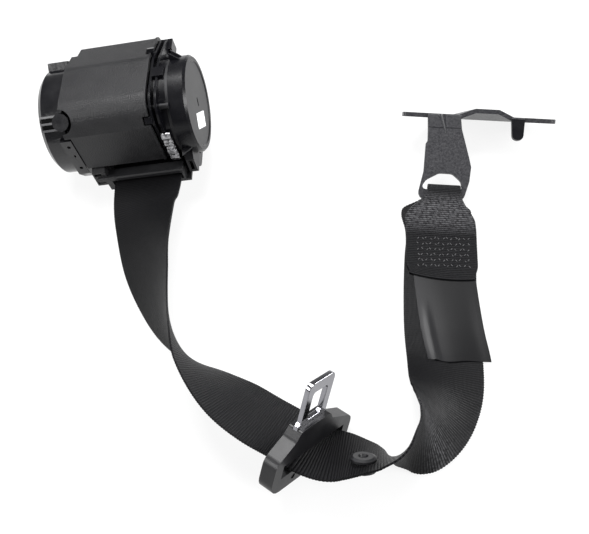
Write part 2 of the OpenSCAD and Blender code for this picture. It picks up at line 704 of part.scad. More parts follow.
frame();
tie_rod_front();
tie_rod_rear();
mounting_lug();
lug_rivets();
shell_cover();
belt_guide();
spring_collar();
clip_strip();
spring_base();
spring_cover();
mainspring();
spring_arbor();
mechanism_base();
mechanism_cover();
cover_screws();
spool();
torsion_bar();
webbing_roll();
bush_left();
bush_right();
ratchet_wheel();
locking_pawl();
pawl_pin();
inertia_disc();
clutch_ring();
sensor_housing();
sensor_ball();
sensor_lever();
webbing();
film_label();
stop_button_front();
stop_button_back();
tongue_plate();
tongue_moulding();
anchor_bracket();
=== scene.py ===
# Seat belt retractor with its webbing, tongue, stop button and end anchor, lying on a pale table.
import json
import math

import bpy
from mathutils import Matrix, Vector

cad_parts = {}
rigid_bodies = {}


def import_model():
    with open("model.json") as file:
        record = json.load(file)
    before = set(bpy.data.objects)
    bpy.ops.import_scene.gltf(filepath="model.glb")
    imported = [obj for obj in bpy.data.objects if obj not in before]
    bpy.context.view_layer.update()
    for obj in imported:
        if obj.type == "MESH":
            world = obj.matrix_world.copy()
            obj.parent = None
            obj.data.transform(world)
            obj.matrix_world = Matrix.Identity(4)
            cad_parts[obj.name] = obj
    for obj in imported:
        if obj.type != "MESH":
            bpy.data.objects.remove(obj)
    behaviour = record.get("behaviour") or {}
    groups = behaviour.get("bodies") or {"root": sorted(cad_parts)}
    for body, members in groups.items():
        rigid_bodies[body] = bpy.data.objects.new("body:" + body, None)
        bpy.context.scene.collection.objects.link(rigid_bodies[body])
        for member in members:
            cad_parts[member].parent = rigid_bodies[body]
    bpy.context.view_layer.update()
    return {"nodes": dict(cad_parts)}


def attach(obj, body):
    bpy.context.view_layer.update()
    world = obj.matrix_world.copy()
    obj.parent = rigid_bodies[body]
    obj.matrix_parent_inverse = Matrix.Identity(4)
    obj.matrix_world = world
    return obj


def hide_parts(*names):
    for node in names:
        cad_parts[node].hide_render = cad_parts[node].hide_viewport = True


bpy.ops.object.select_all(action="SELECT")
bpy.ops.object.delete()
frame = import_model()

# Retractor frame: a U pressed from 2 mm steel and phosphated, which carries the spool between its side
# plates. The tie rods between them are phosphated too; rivets, pins and screws are turned and zinc plated.


def only(piece):
    """Leaves one piece selected and active."""
    if bpy.context.object is not None and bpy.context.object.mode != "OBJECT":
        bpy.ops.object.mode_set(mode="OBJECT")
    bpy.ops.object.select_all(action="DESELECT")
    piece.select_set(True)
    bpy.context.view_layer.objects.active = piece


def new_material(name, base, metallic=0.0, rough=0.5):
    """Principled material with its shader; returns the material, its node tree and the shader."""
    mat = bpy.data.materials.new(name)
    mat.use_nodes = True
    tree = mat.node_tree
    shader = tree.nodes["Principled BSDF"]
    shader.inputs["Base Color"].default_value = (*base, 1)
    shader.inputs["Metallic"].default_value = metallic
    shader.inputs["Roughness"].default_value = rough
    return mat, tree, shader


def make_grain_group():
    """Fine grain of a moulded or plated surface: a height, and a slow patchiness."""
    group = bpy.data.node_groups.new("surface_grain", "ShaderNodeTree")
    group.interface.new_socket("Grain Scale", in_out="INPUT", socket_type="NodeSocketFloat")
    group.interface.new_socket("Patch Scale", in_out="INPUT", socket_type="NodeSocketFloat")
    group.interface.new_socket("Height", in_out="OUTPUT", socket_type="NodeSocketFloat")
    group.interface.new_socket("Patch", in_out="OUTPUT", socket_type="NodeSocketFloat")
    given = group.nodes.new("NodeGroupInput")
    put = group.nodes.new("NodeGroupOutput")
    where = group.nodes.new("ShaderNodeTexCoord")
    fine = group.nodes.new("ShaderNodeTexNoise")
    fine.inputs["Detail"].default_value = 3
    slow = group.nodes.new("ShaderNodeTexNoise")
    slow.inputs["Detail"].default_value = 4
    slow.inputs["Roughness"].default_value = 0.6
    for noise, socket in ((fine, "Grain Scale"), (slow, "Patch Scale")):
        group.links.new(where.outputs["Object"], noise.inputs["Vector"])
        group.links.new(given.outputs[socket], noise.inputs["Scale"])
    group.links.new(fine.outputs["Fac"], put.inputs["Height"])
    group.links.new(slow.outputs["Fac"], put.inputs["Patch"])
    return group


grain_group = make_grain_group()


def grained(name, dark, pale, rough, metallic=0.0, grain=2600.0, patch=55.0, bump=0.00003, strength=0.4,
            shine=0.5):
    """Material whose colour and gloss drift slowly over the surface, with a fine grain."""
    mat, tree, shader = new_material(name, pale, metallic, rough[1])
    shader.inputs["Specular IOR Level"].default_value = shine
    skin = tree.nodes.new("ShaderNodeGroup")
    skin.node_tree = grain_group
    skin.inputs["Grain Scale"].default_value = grain
    skin.inputs["Patch Scale"].default_value = patch
    tint = tree.nodes.new("ShaderNodeValToRGB")
    tint.color_ramp.elements[0].position = 0.3
    tint.color_ramp.elements[0].color = (*dark, 1)
    tint.color_ramp.elements[1].position = 0.7
    tint.color_ramp.elements[1].color = (*pale, 1)
    gloss = tree.nodes.new("ShaderNodeMapRange")
    gloss.inputs["From Min"].default_value = 0.3
    gloss.inputs["From Max"].default_value = 0.7
    gloss.inputs["To Min"].default_value = rough[0]
    gloss.inputs["To Max"].default_value = rough[1]
    relief = tree.nodes.new("ShaderNodeBump")
    relief.inputs["Strength"].default_value = strength
    relief.inputs["Distance"].default_value = bump
    tree.links.new(skin.outputs["Patch"], tint.inputs["Fac"])
    tree.links.new(tint.outputs["Color"], shader.inputs["Base Color"])
    tree.links.new(skin.outputs["Patch"], gloss.inputs["Value"])
    tree.links.new(gloss.outputs["Result"], shader.inputs["Roughness"])
    tree.links.new(skin.outputs["Height"], relief.inputs["Height"])
    tree.links.new(relief.outputs["Normal"], shader.inputs["Normal"])
    return mat


def finish_nodes(mat, *names):
    """Gives CAD nodes their finish."""
    for name in names:
        frame["nodes"][name].data.materials.clear()
        frame["nodes"][name].data.materials.append(mat)


zinc = grained("zinc_plated_steel", (0.34, 0.34, 0.35), (0.55, 0.55, 0.56), (0.28, 0.45), metallic=1.0,
               grain=900, patch=40)
finish_nodes(zinc, "lug_rivets", "pawl_pin", "cover_screws")
finish_nodes(zinc, "ratchet_wheel", "locking_pawl")
phosphated = grained("phosphated_steel", (0.012, 0.012, 0.013), (0.03, 0.03, 0.032), (0.4, 0.6),
                     metallic=0.3, grain=1400, patch=70, shine=0.3)
finish_nodes(phosphated, "frame", "tie_rod_front", "tie_rod_rear")

# Spool and locking parts inside the covers: die-cast spool and inertia disc, a steel torsion bar, a clock
# spring, and small mouldings in natural white plastic. The sensor's ball is polished steel. Little of them
# is seen through the openings of the covers.
cast = grained("cast_alloy", (0.42, 0.42, 0.44), (0.6, 0.6, 0.62), (0.35, 0.55), metallic=1.0, grain=1500,
               patch=60)
finish_nodes(cast, "spool", "inertia_disc")
oiled = grained("oiled_spring_steel", (0.16, 0.17, 0.2), (0.3, 0.32, 0.36), (0.2, 0.35), metallic=1.0,
                grain=700, patch=80)
finish_nodes(oiled, "torsion_bar", "mainspring")
natural = grained("natural_plastic", (0.66, 0.64, 0.57), (0.75, 0.73, 0.66), (0.4, 0.55), grain=2000,
                  patch=50)
finish_nodes(natural, "spring_arbor", "mechanism_base", "bush_left", "bush_right", "clutch_ring")
finish_nodes(natural, "sensor_housing", "sensor_lever")
chrome = grained("polished_steel", (0.24, 0.24, 0.26), (0.32, 0.32, 0.34), (0.12, 0.18), metallic=1.0,
                 grain=400, patch=40, bump=0.000005, strength=0.1)
finish_nodes(chrome, "sensor_ball")

# Mounting lug: a 3 mm steel angle, black electro-coated, riveted under the frame. One bolt through it holds
# the retractor in the vehicle.


def eased(node, name, body, mat, width, segments=2, angle=32, flatness=50):
    """Copy of a CAD node with its sharp edges eased, standing for that node."""
    piece = bpy.data.objects.new(name, frame["nodes"][node].data.copy())
    bpy.context.scene.collection.objects.link(piece)
    only(piece)
    bpy.ops.object.mode_set(mode="EDIT")
    bpy.ops.mesh.select_all(action="SELECT")
    bpy.ops.mesh.remove_doubles(threshold=0.000004)
    bpy.ops.mesh.dissolve_limited(angle_limit=math.radians(0.6))
    bpy.ops.object.mode_set(mode="OBJECT")
    rounding = piece.modifiers.new("rounding", "BEVEL")
    rounding.limit_method = "ANGLE"
    rounding.angle_limit = math.radians(angle)
    rounding.width = width
    rounding.segments = segments
    rounding.miter_outer = "MITER_ARC"
    bpy.ops.object.modifier_apply(modifier="rounding")
    bpy.ops.object.shade_smooth_by_angle(angle=math.radians(38))
    flat = piece.modifiers.new("flat", "WEIGHTED_NORMAL")
    flat.keep_sharp = True
    flat.weight = flatness
    bpy.ops.object.modifier_apply(modifier="flat")
    piece.data.materials.clear()
    piece.data.materials.append(mat)
    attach(piece, body)
    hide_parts(node)
    return piece


coated = grained("black_coated_steel", (0.012, 0.012, 0.014), (0.034, 0.034, 0.037), (0.34, 0.46),
                 grain=1500, patch=750, bump=0.00012, strength=0.6, shine=0.26)
eased("mounting_lug", "lug_plate", "retractor", coated, 0.0005)

# Shell cover: injection moulded over the wound belt, fine-grained black plastic, clipped to the frame. The
# belt guide is a separate smoother moulding at the slot; its left block is widened to close on the frame.
shell_black = grained("grained_black_plastic", (0.006, 0.006, 0.007), (0.011, 0.011, 0.012), (0.38, 0.48),
                      grain=1150, patch=90, bump=0.00035, strength=0.9, shine=0.3)
eased("shell_cover", "shell_moulding", "retractor", shell_black, 0.0007, flatness=30)
guide_black = grained("satin_black_plastic", (0.01, 0.01, 0.011), (0.017, 0.017, 0.018), (0.38, 0.5),
                      grain=1800, patch=60, bump=0.00005, strength=0.4, shine=0.28)
guide = eased("belt_guide", "guide_moulding", "retractor", guide_black, 0.0006)
LEAN = math.radians(11)
LAY = Vector((68.56947967787053, -96.0, -8.92453270740426))
SPOOL_AT = Vector((-103, 96, 44.55123))
on_retractor = (Matrix.Translation((SPOOL_AT + LAY) * 0.001) @ Matrix.Rotation(-LEAN, 4, "Y")
                @ Matrix.Scale(0.001, 4))
off_retractor = on_retractor.inverted()
BLOCK_FACE = (-30.2, -29.3)
BLOCK_FOOT = -28.4
BLOCK_WIDER = Vector((2.0, 0, 0))
for vertex in guide.data.vertices:
    seat = off_retractor @ vertex.co
    if BLOCK_FACE[0] < seat.x < BLOCK_FACE[1] and seat.z > BLOCK_FOOT:
        vertex.co = on_retractor @ (seat + BLOCK_WIDER)

# Spring side: ribbed collar, base and drum cover, moulded in glossier black plastic and screwed on. The end
# of the drum is etched matt. A bright pressed strip is screwed to the front of the collar.
foil = grained("crinkled_bright_strip", (0.03, 0.03, 0.033), (0.75, 0.75, 0.77), (0.18, 0.4),
               metallic=1.0, grain=1600, patch=420, bump=0.0004, strength=0.9)
finish_nodes(foil, "clip_strip")
gloss_black = grained("gloss_black_plastic", (0.002, 0.002, 0.003), (0.005, 0.005, 0.006), (0.2, 0.32),
                      grain=1500, patch=50, bump=0.00004, strength=0.35, shine=0.2)
eased("spring_collar", "collar_moulding", "retractor", gloss_black, 0.0003)
drum = eased("spring_cover", "drum_moulding", "retractor", gloss_black, 0.0009, 3)
finish_nodes(gloss_black, "spring_base")
etched = grained("etched_black_plastic", (0.022, 0.022, 0.023), (0.03, 0.03, 0.031), (0.5, 0.6),
                 grain=3000, patch=30, bump=0.00006, strength=0.5, shine=0.3)
drum.data.materials.append(etched)
end_way = Vector((math.cos(LEAN), 0, math.sin(LEAN)))
for face in drum.data.polygons:
    if face.normal.dot(end_way) > 0.98:
        face.material_index = 1

# Sticker on the drum's end: blank white paper, a little over 20 x 10 mm, cut to a rectangle and stuck on
# askew.
STICKER_AT = (39.39, -6, -9.6)
STICKER_TURN = math.radians(-42)
STICKER_SIZE = (0.12, 20.4, 10.4, 1)
bpy.ops.object.select_all(action="DESELECT")
bpy.ops.mesh.primitive_cube_add(size=1)
sticker = bpy.context.object
sticker.name = "drum_sticker"
sticker.data.transform(on_retractor @ Matrix.Translation(STICKER_AT) @ Matrix.Rotation(STICKER_TURN, 4, "X")
                       @ Matrix.Diagonal(STICKER_SIZE))
paper = grained("white_paper", (0.66, 0.67, 0.68), (0.74, 0.75, 0.76), (0.5, 0.6), grain=900, patch=60)
sticker.data.materials.append(paper)
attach(sticker, "retractor")

# Mechanism side: a round cover over the ratchet and the sensor, moulded in glossy black plastic and screwed
# on. Its ribs before the boss carry a painted highlight on their tops, and the hollows between them a
# painted shade.
mech_black = grained("mechanism_black_plastic", (0.002, 0.002, 0.003), (0.006, 0.006, 0.007),
                     (0.12, 0.24), grain=60, patch=60, bump=0.0012, strength=0.22, shine=0.5)
cover = eased("mechanism_cover", "mechanism_moulding", "retractor", mech_black, 0.00025, 2)
rib_painted_highlight = grained("black_plastic_painted_highlight", (0.03, 0.03, 0.032), (0.075, 0.075, 0.078), (0.3, 0.4))
hollow_painted_shade = grained("black_plastic_painted_shade", (0.0005, 0.0005, 0.0006), (0.001, 0.001, 0.0011),
                       (0.5, 0.6), shine=0.05)
cover.data.materials.append(rib_painted_highlight)
cover.data.materials.append(hollow_painted_shade)
COVER_R, RIB_FOOT = 34.5, 0.7
RIBS_FROM, RIBS_TO = 36, 54
RIBS_ALONG = (-57.5, -48.6)
# Painted highlight: rib faces above the rib foot take a paler black. Painted shade: faces in the hollows
# between the ribs take a near-black.
for face in cover.data.polygons:
    spot = off_retractor @ face.center
    turn = math.degrees(math.atan2(-spot.y, spot.z))
    if RIBS_FROM < turn < RIBS_TO and RIBS_ALONG[0] < spot.x < RIBS_ALONG[1]:
        face.material_index = 1 if math.hypot(spot.y, spot.z) > COVER_R + RIB_FOOT else 2

# Webbing: 47 mm woven polyester with fine ribs across it, laid on its edge through two twists, gathered
# round the anchor's bar and sewn back on itself. The stations are the middle of the belt in millimetres,
# with its roll in degrees.
BELT_HALF, LOOP_HALF = 23.5, 11
SLOT_Z, SLOT_ROLL = -25.65, 11
BAR_AT = Vector((100, 53, 8))
ANCHOR_TURN = math.radians(-4)
belt_route = [
    (-98, 40, 20.5, 18), (-97.5, 25, 21.5, 30), (-93.5, -6, 22.5, 47), (-86, -33, 23, 63),
    (-78, -54, 23.6, 79), (-68.5, -71, 24, 98), (-60, -82, 24, 117), (-48, -94, 23.5, 134),
    (-34, -106, 23, 147), (-19, -116.5, 22, 151), (-4, -125, 20.8, 151), (7, -132.6, 20.8, 149),
    (18, -136.8, 20.9, 149), (28.5, -138.2, 21.8, 144), (38.4, -139.4, 22.8, 135),
    (47, -140.3, 23.6, 126), (54, -140.3, 24, 113), (60.5, -138.4, 24, 97), (67, -134.5, 23.6, 80),
    (72.5, -129.5, 21.9, 64), (77.5, -123, 19, 51), (82.5, -114, 15.2, 38), (87, -102.5, 10.6, 25),
    (90.5, -88, 6, 12), (92, -71, 2.5, 4), (92, -53, 1.1, 1), (92.5, -38, 0.8, 0), (94, -15, 0.8, 0),
    (96, 6, 0.8, 0)]


def at_spool(u, y, z):
    """Point of the retractor, given along, before and above its spool, on the table."""
    c, s = math.cos(LEAN), math.sin(LEAN)
    return SPOOL_AT + Vector((u * c - z * s, y, u * s + z * c))


def at_anchor(x, y, z):
    """Point of the anchor on the table."""
    c, s = math.cos(ANCHOR_TURN), math.sin(ANCHOR_TURN)
    return BAR_AT + Vector((x * c - y * s, x * s + y * c, z))


def through(points, steps):
    """Smooth curve through the points given, as tuples of any length."""
    out = []
    last = len(points) - 1
    for i in range(last):
        a, b, c, d = points[max(i - 1, 0)], points[i], points[i + 1], points[min(i + 2, last)]
        for s in range(steps):
            t = s / steps
            out.append(tuple(0.5 * (2 * q + (r - p) * t + (2 * p - 5 * q + 4 * r - w) * t * t
                                    + (3 * q - p - 3 * r + w) * t ** 3) for p, q, r, w in zip(a, b, c, d)))
    out.append(tuple(points[-1]))
    return out


def ease(t):
    """Smooth step from 0 to 1."""
    t = min(1.0, max(0.0, t))
    return t * t * (3 - 2 * t)


def belt_samples():
    """Dense samples of the belt: middle, width direction, half width, how far it is gathered."""
    stations = [(*at_spool(0, y, SLOT_Z), SLOT_ROLL) for y in (0, -19, -38)] + belt_route
    stations += [(*at_anchor(0, -38, -7.2), 0), (*at_anchor(0, -32, -7.1), 0)]
    run = through(stations, 40)[:-1]
    out = []
    for i, p in enumerate(run):
        a, b = run[max(i - 1, 0)], run[min(i + 1, len(run) - 1)]
        along = (Vector(b[:3]) - Vector(a[:3])).normalized()
        side = Vector((0, 0, 1)).cross(along).normalized()
        roll = math.radians(p[3])
        wide = math.cos(roll) * side + math.sin(roll) * along.cross(side)
        out.append((Vector(p[:3]), wide, BELT_HALF, 0.0))
    under = [(-32, -7.1), (-24, -6.8), (-15, -6.2), (-7, -5.4)]
    turn = [(7.5 * math.cos(math.radians(a)), 5 * math.sin(math.radians(a))) for a in range(-90, 91, 30)]
    over = [(-7, 3.8), (-14, 0.6), (-21, -2.6), (-28, -4.8), (-34, -5.5), (-46, -5.5), (-64, -5.5)]
    wide = at_anchor(-1, 0, 0) - at_anchor(0, 0, 0)
    steps = 24
    for i, (y, z) in enumerate(through(under + turn + over, steps)):
        if i < len(under) * steps:
            open_out = ease((3 - y) / 13)
            aside = -3.2 * math.exp(-((y + 13) / 9) ** 2)
        else:
            open_out = ease((-y - 1) / 19)
            aside = 1.5 * (1 - ease(-y / 12)) - 1.6 * math.exp(-((y + 14) / 8) ** 2)
        half = LOOP_HALF + (BELT_HALF - LOOP_HALF) * open_out
        out.append((at_anchor(aside, y, z), wide, half, 1 - open_out))
    return out


def even(samples, pitch):
    """Samples spread evenly along the belt, with their distance along it."""
    far = [0.0]
    for a, b in zip(samples, samples[1:]):
        far.append(far[-1] + (b[0] - a[0]).length)
    count = int(far[-1] / pitch)
    out, j = [], 0
    for i in range(count + 1):
        s = far[-1] * i / count
        while j < len(far) - 2 and far[j + 1] < s:
            j += 1
        t = (s - far[j]) / max(far[j + 1] - far[j], 1e-9)
        a, b = samples[j], samples[j + 1]
        mixed = [p + (q - p) * t for p, q in zip(a[2:], b[2:])]
        out.append((a[0].lerp(b[0], t), a[1].lerp(b[1], t).normalized(), *mixed, s))
    return out


RIB = 1.4
BELT_T = 1.2
ACROSS = 20
belt_line = even(belt_samples(), RIB / 4)
belt_length = belt_line[-1][4]
bpy.ops.object.select_all(action="DESELECT")
bpy.ops.mesh.primitive_grid_add(x_subdivisions=ACROSS, y_subdivisions=len(belt_line) - 1, size=1)
belt = bpy.context.object
belt.name = "belt_webbing"
belt.location = (0, 0, 0)
columns = ACROSS + 1
belt_uv = belt.data.uv_layers.active
belt_uv.name = "weave"
place_of = {}
for i, (mid, wide, half, slack, s) in enumerate(belt_line):
    before, after = belt_line[max(i - 1, 0)][0], belt_line[min(i + 1, len(belt_line) - 1)][0]
    along = (after - before).normalized()
    normal = along.cross(wide).normalized()
    rib = 0.1 * math.cos(2 * math.pi * s / RIB)
    end = ease(1 - (belt_length - s) / 12)
    for j in range(columns):
        w = 2 * j / ACROSS - 1
        pleat = -3.2 * slack * (1 - slack) * (0.5 - 0.5 * math.cos(5 * math.pi * w))
        edge = 0.25 if abs(w) == 1 and int(s / RIB * 2) % 2 else 0.0
        bow = -along * end * (2.2 * w * w + 1.2 * w)
        narrow = 1 - 0.09 * end
        point = mid + wide * w * (half - edge) * narrow + normal * (rib * (abs(w) < 1) + pleat) + bow + LAY
        belt.data.vertices[i * columns + j].co = point * 0.001
        place_of[i * columns + j] = ((w + 1) * half * 0.01, s * 0.01)
for loop in belt.data.loops:
    belt_uv.data[loop.index].uv = place_of[loop.vertex_index]
only(belt)
thick = belt.modifiers.new("thickness", "SOLIDIFY")
thick.thickness = BELT_T * 0.001
thick.offset = 0
bpy.ops.object.modifier_apply(modifier="thickness")
bpy.ops.object.shade_smooth_by_angle(angle=math.radians(60))
bpy.ops.object.mode_set(mode="EDIT")
bpy.ops.mesh.select_all(action="SELECT")
bpy.ops.mesh.normals_make_consistent(inside=False)
bpy.ops.object.mode_set(mode="OBJECT")

weave, weave_tree, weave_shader = new_material("woven_polyester", (0.008, 0.008, 0.009), 0.0, 0.42)
weave_shader.inputs["Specular IOR Level"].default_value = 0.08
weave_shader.inputs["Sheen Weight"].default_value = 0.012
weave_shader.inputs["Sheen Roughness"].default_value = 0.35
weave_at = weave_tree.nodes.new("ShaderNodeUVMap")
weave_at.uv_map = "weave"
yarn = weave_tree.nodes.new("ShaderNodeTexWave")
yarn.bands_direction = "Y"
yarn.inputs["Scale"].default_value = 100 / RIB * math.pi / 10
yarn.inputs["Distortion"].default_value = 0.6
yarn.inputs["Detail"].default_value = 2
warp = weave_tree.nodes.new("ShaderNodeTexWave")
warp.bands_direction = "X"
warp.inputs["Scale"].default_value = 39
warp.inputs["Distortion"].default_value = 0.8
mixed = weave_tree.nodes.new("ShaderNodeMath")
mixed.operation = "MULTIPLY_ADD"
mixed.inputs[1].default_value = 0.35
weave_bump = weave_tree.nodes.new("ShaderNodeBump")
weave_bump.inputs["Strength"].default_value = 0.85
weave_bump.inputs["Distance"].default_value = 0.00018
weave_tint = weave_tree.nodes.new("ShaderNodeValToRGB")
weave_tint.color_ramp.elements[0].color = (0.0008, 0.0008, 0.001, 1)
weave_tint.color_ramp.elements[1].color = (0.0075, 0.0075, 0.0083, 1)
for wave in (yarn, warp):
    weave_tree.links.new(weave_at.outputs["UV"], wave.inputs["Vector"])
weave_tree.links.new(warp.outputs["Fac"], mixed.inputs[0])
weave_tree.links.new(yarn.outputs["Fac"], mixed.inputs[2])
weave_tree.links.new(mixed.outputs["Value"], weave_bump.inputs["Height"])
weave_tree.links.new(weave_bump.outputs["Normal"], weave_shader.inputs["Normal"])
weave_tree.links.new(mixed.outputs["Value"], weave_tint.inputs["Fac"])
# Painted sheen: the weave's tint is mixed toward a paler one along the sewn end's gable and round the lower
# bend, where light catches the belt, broken up by a noise.
painted_sheen_tint = weave_tree.nodes.new("ShaderNodeValToRGB")
painted_sheen_tint.color_ramp.elements[0].color = (0.003, 0.003, 0.0033, 1)
painted_sheen_tint.color_ramp.elements[1].color = (0.075, 0.075, 0.079, 1)
weave_axes = weave_tree.nodes.new("ShaderNodeSeparateXYZ")
gable_sheen_at = weave_tree.nodes.new("ShaderNodeMapRange")
gable_sheen_at.inputs["From Min"].default_value = (belt_length - 66) * 0.01
gable_sheen_at.inputs["From Max"].default_value = (belt_length - 34) * 0.01
gable_sheen = weave_tree.nodes.new("ShaderNodeValToRGB")
gable_sheen.color_ramp.elements[0].color = (0, 0, 0, 1)
gable_sheen.color_ramp.elements[1].color = (0, 0, 0, 1)
gable_sheen.color_ramp.elements.new(0.35).color = (0.8, 0.8, 0.8, 1)
gable_sheen.color_ramp.elements.new(0.65).color = (0.7, 0.7, 0.7, 1)
# Painted sheen band round the lower bend of the belt.
SHEEN_BEND_AT = Vector((77.5, -123, 19))
sheen_bend_along = min(belt_line, key=lambda place: (place[0] - SHEEN_BEND_AT).length)[4]
bend_sheen_at = weave_tree.nodes.new("ShaderNodeMapRange")
bend_sheen_at.inputs["From Min"].default_value = (sheen_bend_along - 22) * 0.01
bend_sheen_at.inputs["From Max"].default_value = (sheen_bend_along + 20) * 0.01
bend_sheen = weave_tree.nodes.new("ShaderNodeValToRGB")
bend_sheen.color_ramp.elements[0].color = (0, 0, 0, 1)
bend_sheen.color_ramp.elements[1].color = (0, 0, 0, 1)
bend_sheen.color_ramp.elements.new(0.5).color = (0.75, 0.75, 0.75, 1)
bend_sheen.color_ramp.elements.new(0.25).color = (0.12, 0.12, 0.12, 1)
bend_sheen.color_ramp.elements.new(0.75).color = (0.15, 0.15, 0.15, 1)
painted_sheen_either = weave_tree.nodes.new("ShaderNodeMath")
painted_sheen_either.operation = "MAXIMUM"
weave_and_sheen_mix = weave_tree.nodes.new("ShaderNodeMix")
weave_and_sheen_mix.data_type = "RGBA"
weave_tree.links.new(mixed.outputs["Value"], painted_sheen_tint.inputs["Fac"])
weave_tree.links.new(weave_at.outputs["UV"], weave_axes.inputs["Vector"])
weave_tree.links.new(weave_axes.outputs["Y"], gable_sheen_at.inputs["Value"])
weave_tree.links.new(gable_sheen_at.outputs["Result"], gable_sheen.inputs["Fac"])
painted_sheen_specks = weave_tree.nodes.new("ShaderNodeTexNoise")
painted_sheen_specks.inputs["Scale"].default_value = 55
painted_sheen_specks.inputs["Detail"].default_value = 3
painted_sheen_share = weave_tree.nodes.new("ShaderNodeMapRange")
painted_sheen_share.inputs["From Min"].default_value = 0.35
painted_sheen_share.inputs["From Max"].default_value = 0.65
painted_sheen_share.inputs["To Min"].default_value = 0.15
painted_sheen_share.inputs["To Max"].default_value = 1.35
painted_sheen_amount = weave_tree.nodes.new("ShaderNodeMath")
painted_sheen_amount.operation = "MULTIPLY"
painted_sheen_amount.use_clamp = True
weave_tree.links.new(weave_at.outputs["UV"], painted_sheen_specks.inputs["Vector"])
weave_tree.links.new(painted_sheen_specks.outputs["Fac"], painted_sheen_share.inputs["Value"])
weave_tree.links.new(painted_sheen_share.outputs["Result"], painted_sheen_amount.inputs[0])
weave_tree.links.new(weave_axes.outputs["Y"], bend_sheen_at.inputs["Value"])
weave_tree.links.new(bend_sheen_at.outputs["Result"], bend_sheen.inputs["Fac"])
weave_tree.links.new(gable_sheen.outputs["Color"], painted_sheen_either.inputs[0])
weave_tree.links.new(bend_sheen.outputs["Color"], painted_sheen_either.inputs[1])
weave_tree.links.new(painted_sheen_either.outputs["Value"], painted_sheen_amount.inputs[1])
weave_tree.links.new(painted_sheen_amount.outputs["Value"], weave_and_sheen_mix.inputs["Factor"])
weave_tree.links.new(weave_tint.outputs["Color"], weave_and_sheen_mix.inputs[6])
weave_tree.links.new(painted_sheen_tint.outputs["Color"], weave_and_sheen_mix.inputs[7])
weave_tree.links.new(weave_and_sheen_mix.outputs[2], weave_shader.inputs["Base Color"])
belt.data.materials.clear()
belt.data.materials.append(weave)
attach(belt, "retractor")
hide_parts("webbing")
finish_nodes(weave, "webbing_roll")

# Stitching: six rows of zigzag in pale polyester thread, machine sewn, that hold the flap. One stitch is
# modelled and repeated.
bpy.ops.object.select_all(action="DESELECT")
bpy.ops.mesh.primitive_cylinder_add(vertices=6, radius=0.00026, depth=0.0016)
stitch = bpy.context.object
bpy.ops.object.mode_set(mode="EDIT")
bpy.ops.mesh.select_all(action="SELECT")
bpy.ops.transform.rotate(value=math.radians(90), orient_axis="X")
bpy.ops.mesh.bevel(offset=0.0001, segments=1)
bpy.ops.object.mode_set(mode="OBJECT")
STITCH_ROWS, STITCHES, ZIGZAG = 6, 13, 38
sewn = []
for row in range(STITCH_ROWS):
    for k in range(STITCHES):
        x = -15.4 + 33 * k / (STITCHES - 1) + 0.5 * math.sin(5 * row + 2.3 * k)
        y = -32.6 - 21.4 * row / (STITCH_ROWS - 1) + 0.03 * x + 0.45 * math.sin(3.7 * k + 2 * row)
        copy = bpy.data.objects.new("stitch", stitch.data.copy())
        bpy.context.scene.collection.objects.link(copy)
        lean = math.radians(ZIGZAG if (k + row) % 2 else -ZIGZAG) + ANCHOR_TURN
        spot = (at_anchor(x, y, -4.82 + 0.5 * ease((y + 35) / 6)) + LAY) * 0.001
        copy.data.transform(Matrix.Translation(spot) @ Matrix.Rotation(lean, 4, "Z"))
        sewn.append(copy)
bpy.data.objects.remove(stitch)
only(sewn[0])
for copy in sewn[1:]:
    copy.select_set(True)
bpy.ops.object.join()
stitching = bpy.context.object
stitching.name = "flap_stitching"
bpy.ops.object.shade_smooth_by_angle(angle=math.radians(50))
thread = grained("pale_thread", (0.02, 0.02, 0.021), (0.085, 0.085, 0.088), (0.5, 0.7), grain=3000,
                 patch=400)
stitching.data.materials.clear()
stitching.data.materials.append(thread)
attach(stitching, "retractor")

# Film label: a blank satin film sewn under the flap. It lies skewed on the belt, hangs over its edge and
# has one crease along it where it was folded.
LABEL_ROWS, LABEL_COLS = 40, 24
LABEL_FROM, LABEL_TO, FLAP = -70, -8, 90
on_belt = [place for place in belt_line if place[0].x > 60 and LABEL_FROM <= place[0].y <= LABEL_TO
           and place[3] == 0.0 and place[4] < belt_length - FLAP]
bpy.ops.object.select_all(action="DESELECT")
bpy.ops.mesh.primitive_grid_add(x_subdivisions=LABEL_COLS, y_subdivisions=LABEL_ROWS, size=1)
label = bpy.context.object
label.name = "label_film"
film_uv = label.data.uv_layers.active
film_uv.name = "film"
for i in range(LABEL_ROWS + 1):
    t = 1 - i / LABEL_ROWS
    k = round((1 - t) * (len(on_belt) - 1))
    mid, wide = on_belt[k][:2]
    ahead, behind = on_belt[min(k + 2, len(on_belt) - 1)][0], on_belt[max(k - 2, 0)][0]
    along = (ahead - behind).normalized()
    normal = along.cross(wide).normalized()
    for j in range(LABEL_COLS + 1):
        v = j / LABEL_COLS
        left, right = 17.2 - 6.6 * t, -23.0 - 5.4 * t
        crease = math.exp(-((v - 0.13) / 0.04) ** 2) * ease((t - 0.25) / 0.5)
        lift = 0.88 + 0.9 * crease + 0.7 * t * math.sin(math.pi * v) ** 2 + 0.5 * t * ease((v - 0.8) / 0.2)
        sag = 1.6 * math.exp(-((v - 0.33) / 0.2) ** 2) * ease((t - 0.85) / 0.15)
        point = mid + wide * (left + (right - left) * v) + normal * lift - along * sag + LAY
        label.data.vertices[i * (LABEL_COLS + 1) + j].co = point * 0.001
for loop in label.data.loops:
    row, column = divmod(loop.vertex_index, LABEL_COLS + 1)
    film_uv.data[loop.index].uv = (column / LABEL_COLS, row / LABEL_ROWS)
only(label)
sheet = label.modifiers.new("sheet", "SOLIDIFY")
sheet.thickness = 0.0002
sheet.offset = 0
bpy.ops.object.modifier_apply(modifier="sheet")
bpy.ops.object.shade_smooth_by_angle(angle=math.radians(60))
bpy.ops.object.mode_set(mode="EDIT")
bpy.ops.mesh.select_all(action="SELECT")
